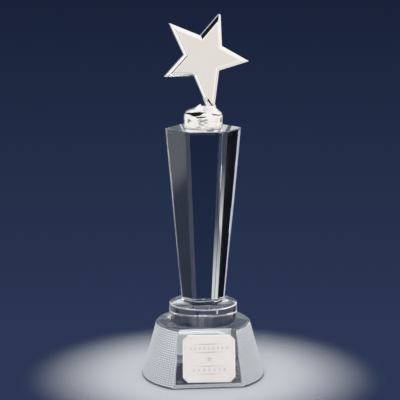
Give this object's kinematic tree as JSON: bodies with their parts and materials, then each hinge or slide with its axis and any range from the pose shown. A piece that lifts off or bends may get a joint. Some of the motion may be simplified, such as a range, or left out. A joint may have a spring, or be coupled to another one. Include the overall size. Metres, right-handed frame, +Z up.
{
  "type": "star trophy",
  "caption": "Free-standing award: a plated star on a swirl foot, on a tapered six-sided crystal column with a round riser, pressed crystal base and blank engraving plate.",
  "frame": {"origin": "on the tabletop, at the centre of the base", "axes": "+Z up, the plaque faces -Y, +X to the right seen from the front"},
  "size_m": [0.092, 0.0766, 0.2699],
  "materials": {
    "crystal": "clear polished optical crystal with ground facets",
    "pressed_crystal": "clear pressed crystal, fine diamond pattern on the sides and polished flat windows",
    "bright_plate": "mirror-bright silver plating on a cast alloy",
    "satin_plate": "satin brushed face with a bright bevelled edge",
    "steel": "zinc-plated steel",
    "clear_adhesive": "clear cured adhesive",
    "foam_tape": "white adhesive sheet",
    "clear_rubber": "clear soft polyurethane bumper"
  },
  "bodies": {
    "root": {"crystal_base": "pressed_crystal", "foot_pad_1": "clear_rubber", "foot_pad_2": "clear_rubber", "foot_pad_3": "clear_rubber", "foot_pad_4": "clear_rubber", "riser_bond": "clear_adhesive", "riser_disc": "crystal", "column_bond": "clear_adhesive", "crystal_column": "crystal", "foot_bond": "clear_adhesive", "foot_plate": "steel", "swirl_foot": "bright_plate", "stud_nut": "steel", "stud_washer": "steel", "star_stud": "steel", "star": "bright_plate", "plaque_tape": "foam_tape", "plaque": "satin_plate"}
  },
  "joints": []
}
